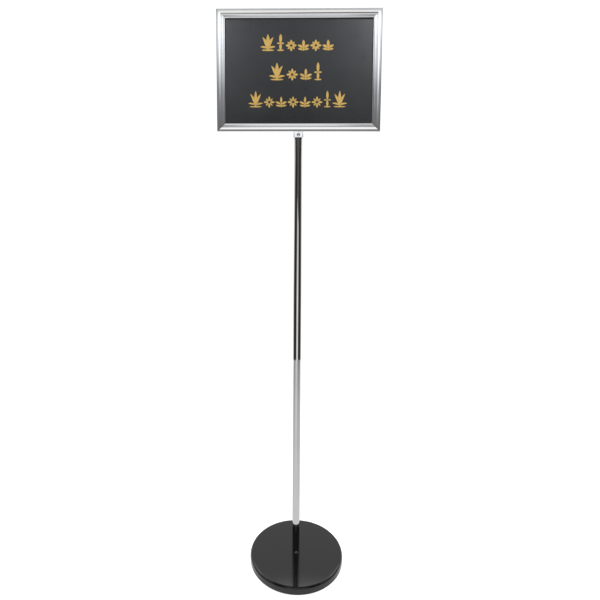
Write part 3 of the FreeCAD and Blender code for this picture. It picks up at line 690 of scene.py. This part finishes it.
def spindle(h):
    """Slender upright ornament with a waist of two buds."""
    parts = [
        leaf(0.54 * h, 0.22 * h, start=(0, 0.46 * h), blunt=0.6),
        leaf(0.40 * h, 0.20 * h, start=(0, 0.06 * h), blunt=0.6),
        leaf(0.42 * h, 0.11 * h, start=(-0.21 * h, 0.055 * h), turn=math.pi / 2, blunt=0.4),
    ]
    for sign in (-1, 1):
        parts.append(leaf(0.20 * h, 0.12 * h, start=(0.02 * h * sign, 0.46 * h),
                          turn=math.pi / 2 * sign, blunt=0.8))
    return parts


def rosette(h):
    """Low ornament: eight petals round an open centre, long and short in turn."""
    size = 0.66 * h
    parts = []
    for k in range(8):
        turn = math.pi / 4 * k
        length = size * (0.42 if k % 2 == 0 else 0.36)
        inner = size * 0.09
        start = (inner * math.sin(turn), size / 2 + inner * math.cos(turn))
        parts.append(leaf(length, size * (0.28 if k % 2 == 0 else 0.20), 0.0, start, turn, 0.7))
    return parts


def sprig(h):
    """Low ornament: a bud above two pairs of leaves."""
    size = 0.66 * h
    parts = [leaf(size * 0.62, size * 0.32, start=(0, size * 0.38), blunt=0.7)]
    for sign in (-1, 1):
        parts.append(leaf(size * 0.54, size * 0.28, 0.10 * size * sign,
                          (0.03 * size * sign, size * 0.30), 0.95 * sign, 0.7))
        parts.append(leaf(size * 0.48, size * 0.24, 0.06 * size * sign,
                          (0.03 * size * sign, size * 0.12), 1.25 * sign, 0.7))
    parts.append(leaf(size * 0.44, size * 0.18, start=(0, 0.0), blunt=0.6))
    return parts


# each row: lowest and highest point, left and right end, how heavy its strokes are,
# and its ornaments from left to right
GOLD_ROWS = {
    "gold_row_upper": (1158.0, 1196.0, -88.0, 80.0, 0.82,
                       (palmette, spindle, rosette, sprig, rosette, sprig)),
    "gold_row_middle": (1092.5, 1133.0, -68.0, 54.0, 0.74,
                        (palmette, rosette, sprig, spindle)),
    "gold_row_lower": (1031.5, 1069.5, -116.5, 112.0, 0.66,
                       (palmette, rosette, sprig, rosette, sprig, rosette, spindle, palmette)),
}
# each ornament's width as a share of its row's height
ORNAMENT_WIDTH = {palmette: 0.86, spindle: 0.46, rosette: 0.62, sprig: 0.66}


def slimmed(edges, weight):
    """The same leaf at a share of its width."""
    left, right = edges
    slim = ([], [])
    for a, b in zip(left, right):
        for edge, near, far in zip(slim, (a, b), (b, a)):
            edge.append(tuple((m + n) / 2 + (m - n) / 2 * weight for m, n in zip(near, far)))
    return slim


def add_raised(bm, edges, x, z, front, back):
    """A closed sliver of print between two edges; the edges meet at both tips."""
    left, right = edges
    layers = []
    for y in (front, back):
        row_left = [bm.verts.new((x + u, y, z + v)) for u, v in left]
        inner = [bm.verts.new((x + u, y, z + v)) for u, v in right[1:-1]]
        layers.append((row_left, [row_left[0]] + inner + [row_left[-1]]))
    for (a, b), flip in zip(layers, (False, True)):
        for i in range(len(a) - 1):
            quad = []
            for vert in (a[i], b[i], b[i + 1], a[i + 1]):
                if vert not in quad:
                    quad.append(vert)
            bm.faces.new(quad[::-1] if flip else quad)
    (front_left, front_right), (back_left, back_right) = layers
    for i in range(len(front_left) - 1):
        bm.faces.new((front_left[i], front_left[i + 1], back_left[i + 1], back_left[i]))
        bm.faces.new((front_right[i + 1], front_right[i], back_right[i], back_right[i + 1]))


def make_gold(finish):
    face_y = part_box("sign_face_front")[0].y
    for name, (low, high, left, right, weight, kinds) in GOLD_ROWS.items():
        height = (high - low) * MM
        widths = [ORNAMENT_WIDTH[kind] * height for kind in kinds]
        space = ((right - left) * MM - sum(widths)) / (len(kinds) - 1)
        x = left * MM
        bm = bmesh.new()
        for kind, width in zip(kinds, widths):
            for layer, edges in enumerate(kind(height)):
                front = face_y - PRINT_RAISE - PRINT_STEP * layer
                add_raised(bm, slimmed(edges, weight), x + width / 2, low * MM, front,
                           face_y + PRINT_SINK)
            x += width + space
        bmesh.ops.recalc_face_normals(bm, faces=bm.faces)
        mesh = bpy.data.meshes.new(name)
        bm.to_mesh(mesh)
        bm.free()
        mesh.materials.append(finish)
        row = bpy.data.objects.new(name, mesh)
        bpy.context.scene.collection.objects.link(row)
        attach(row, "insert")


# ---------------------------------------------------------------- assembly

BASE_NODES = ("base_cover", "base_weight", "base_pad", "cover_screw")

bpy.context.scene.view_settings.view_transform = "Standard"
make_camera()
make_world()
make_floor()
finishes = make_finishes()
dress_nodes(finishes)
make_gold(finishes["gold_print"])
make_lamps()
for name in BASE_NODES:
    frame["nodes"][name].visible_glossy = False    # the pole mirrors the floor, not the base
